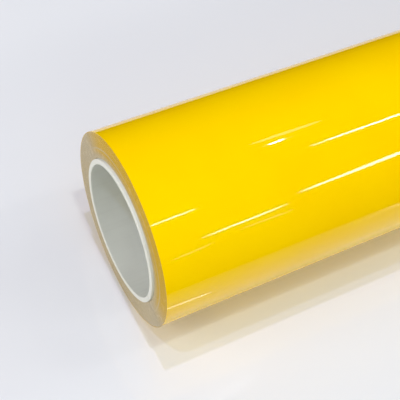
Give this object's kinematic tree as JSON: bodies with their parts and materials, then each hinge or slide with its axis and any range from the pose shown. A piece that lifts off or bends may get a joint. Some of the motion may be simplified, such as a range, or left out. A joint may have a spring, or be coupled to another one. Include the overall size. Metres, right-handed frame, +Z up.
{
  "type": "roll of sign vinyl",
  "caption": "Roll of glossy coloured self-adhesive film with a clear liner, wound on an open plastic core, with a loose end that lifts and a film edge that peels.",
  "frame": {"origin": "on the surface that the roll lies on, below the middle of the core", "axes": "+X along the core, +Y to the back, where the loose end hangs, and +Z up"},
  "size_m": [0.6132, 0.1122, 0.1121],
  "materials": {
    "core_plastic": "satin white moulded tube",
    "start_tape": "double-sided tape",
    "wound_web": "cut edges of film, adhesive and clear liner",
    "vinyl_film": "high gloss",
    "adhesive": "clear, slightly amber",
    "release_liner": "clear polyester sheet",
    "tab_tape": "frosted clear tape"
  },
  "bodies": {
    "roll": {"core_tube": "core_plastic", "core_start_tape": "start_tape", "wound_turns": "wound_web", "outer_turn_film": "vinyl_film", "outer_turn_adhesive": "adhesive", "outer_turn_liner": "release_liner"},
    "tail": {"tail_film": "vinyl_film", "tail_adhesive": "adhesive", "tail_liner": "release_liner"},
    "peel_edge": {"peel_edge_film": "vinyl_film", "peel_edge_adhesive": "adhesive", "end_tab_left": "tab_tape", "end_tab_middle": "tab_tape", "end_tab_right": "tab_tape"}
  },
  "joints": [
    {"name": "tail_lift", "type": "hinge", "parent": "roll", "child": "tail", "pos_m": [0, 0.04167, 0.09363], "axis": [1, 0, 0], "range_deg": [0, 70]},
    {"name": "film_peel", "type": "hinge", "parent": "tail", "child": "peel_edge", "pos_m": [0, 0.05407, 0.07107], "axis": [1, 0, 0], "range_deg": [0, 100]}
  ]
}
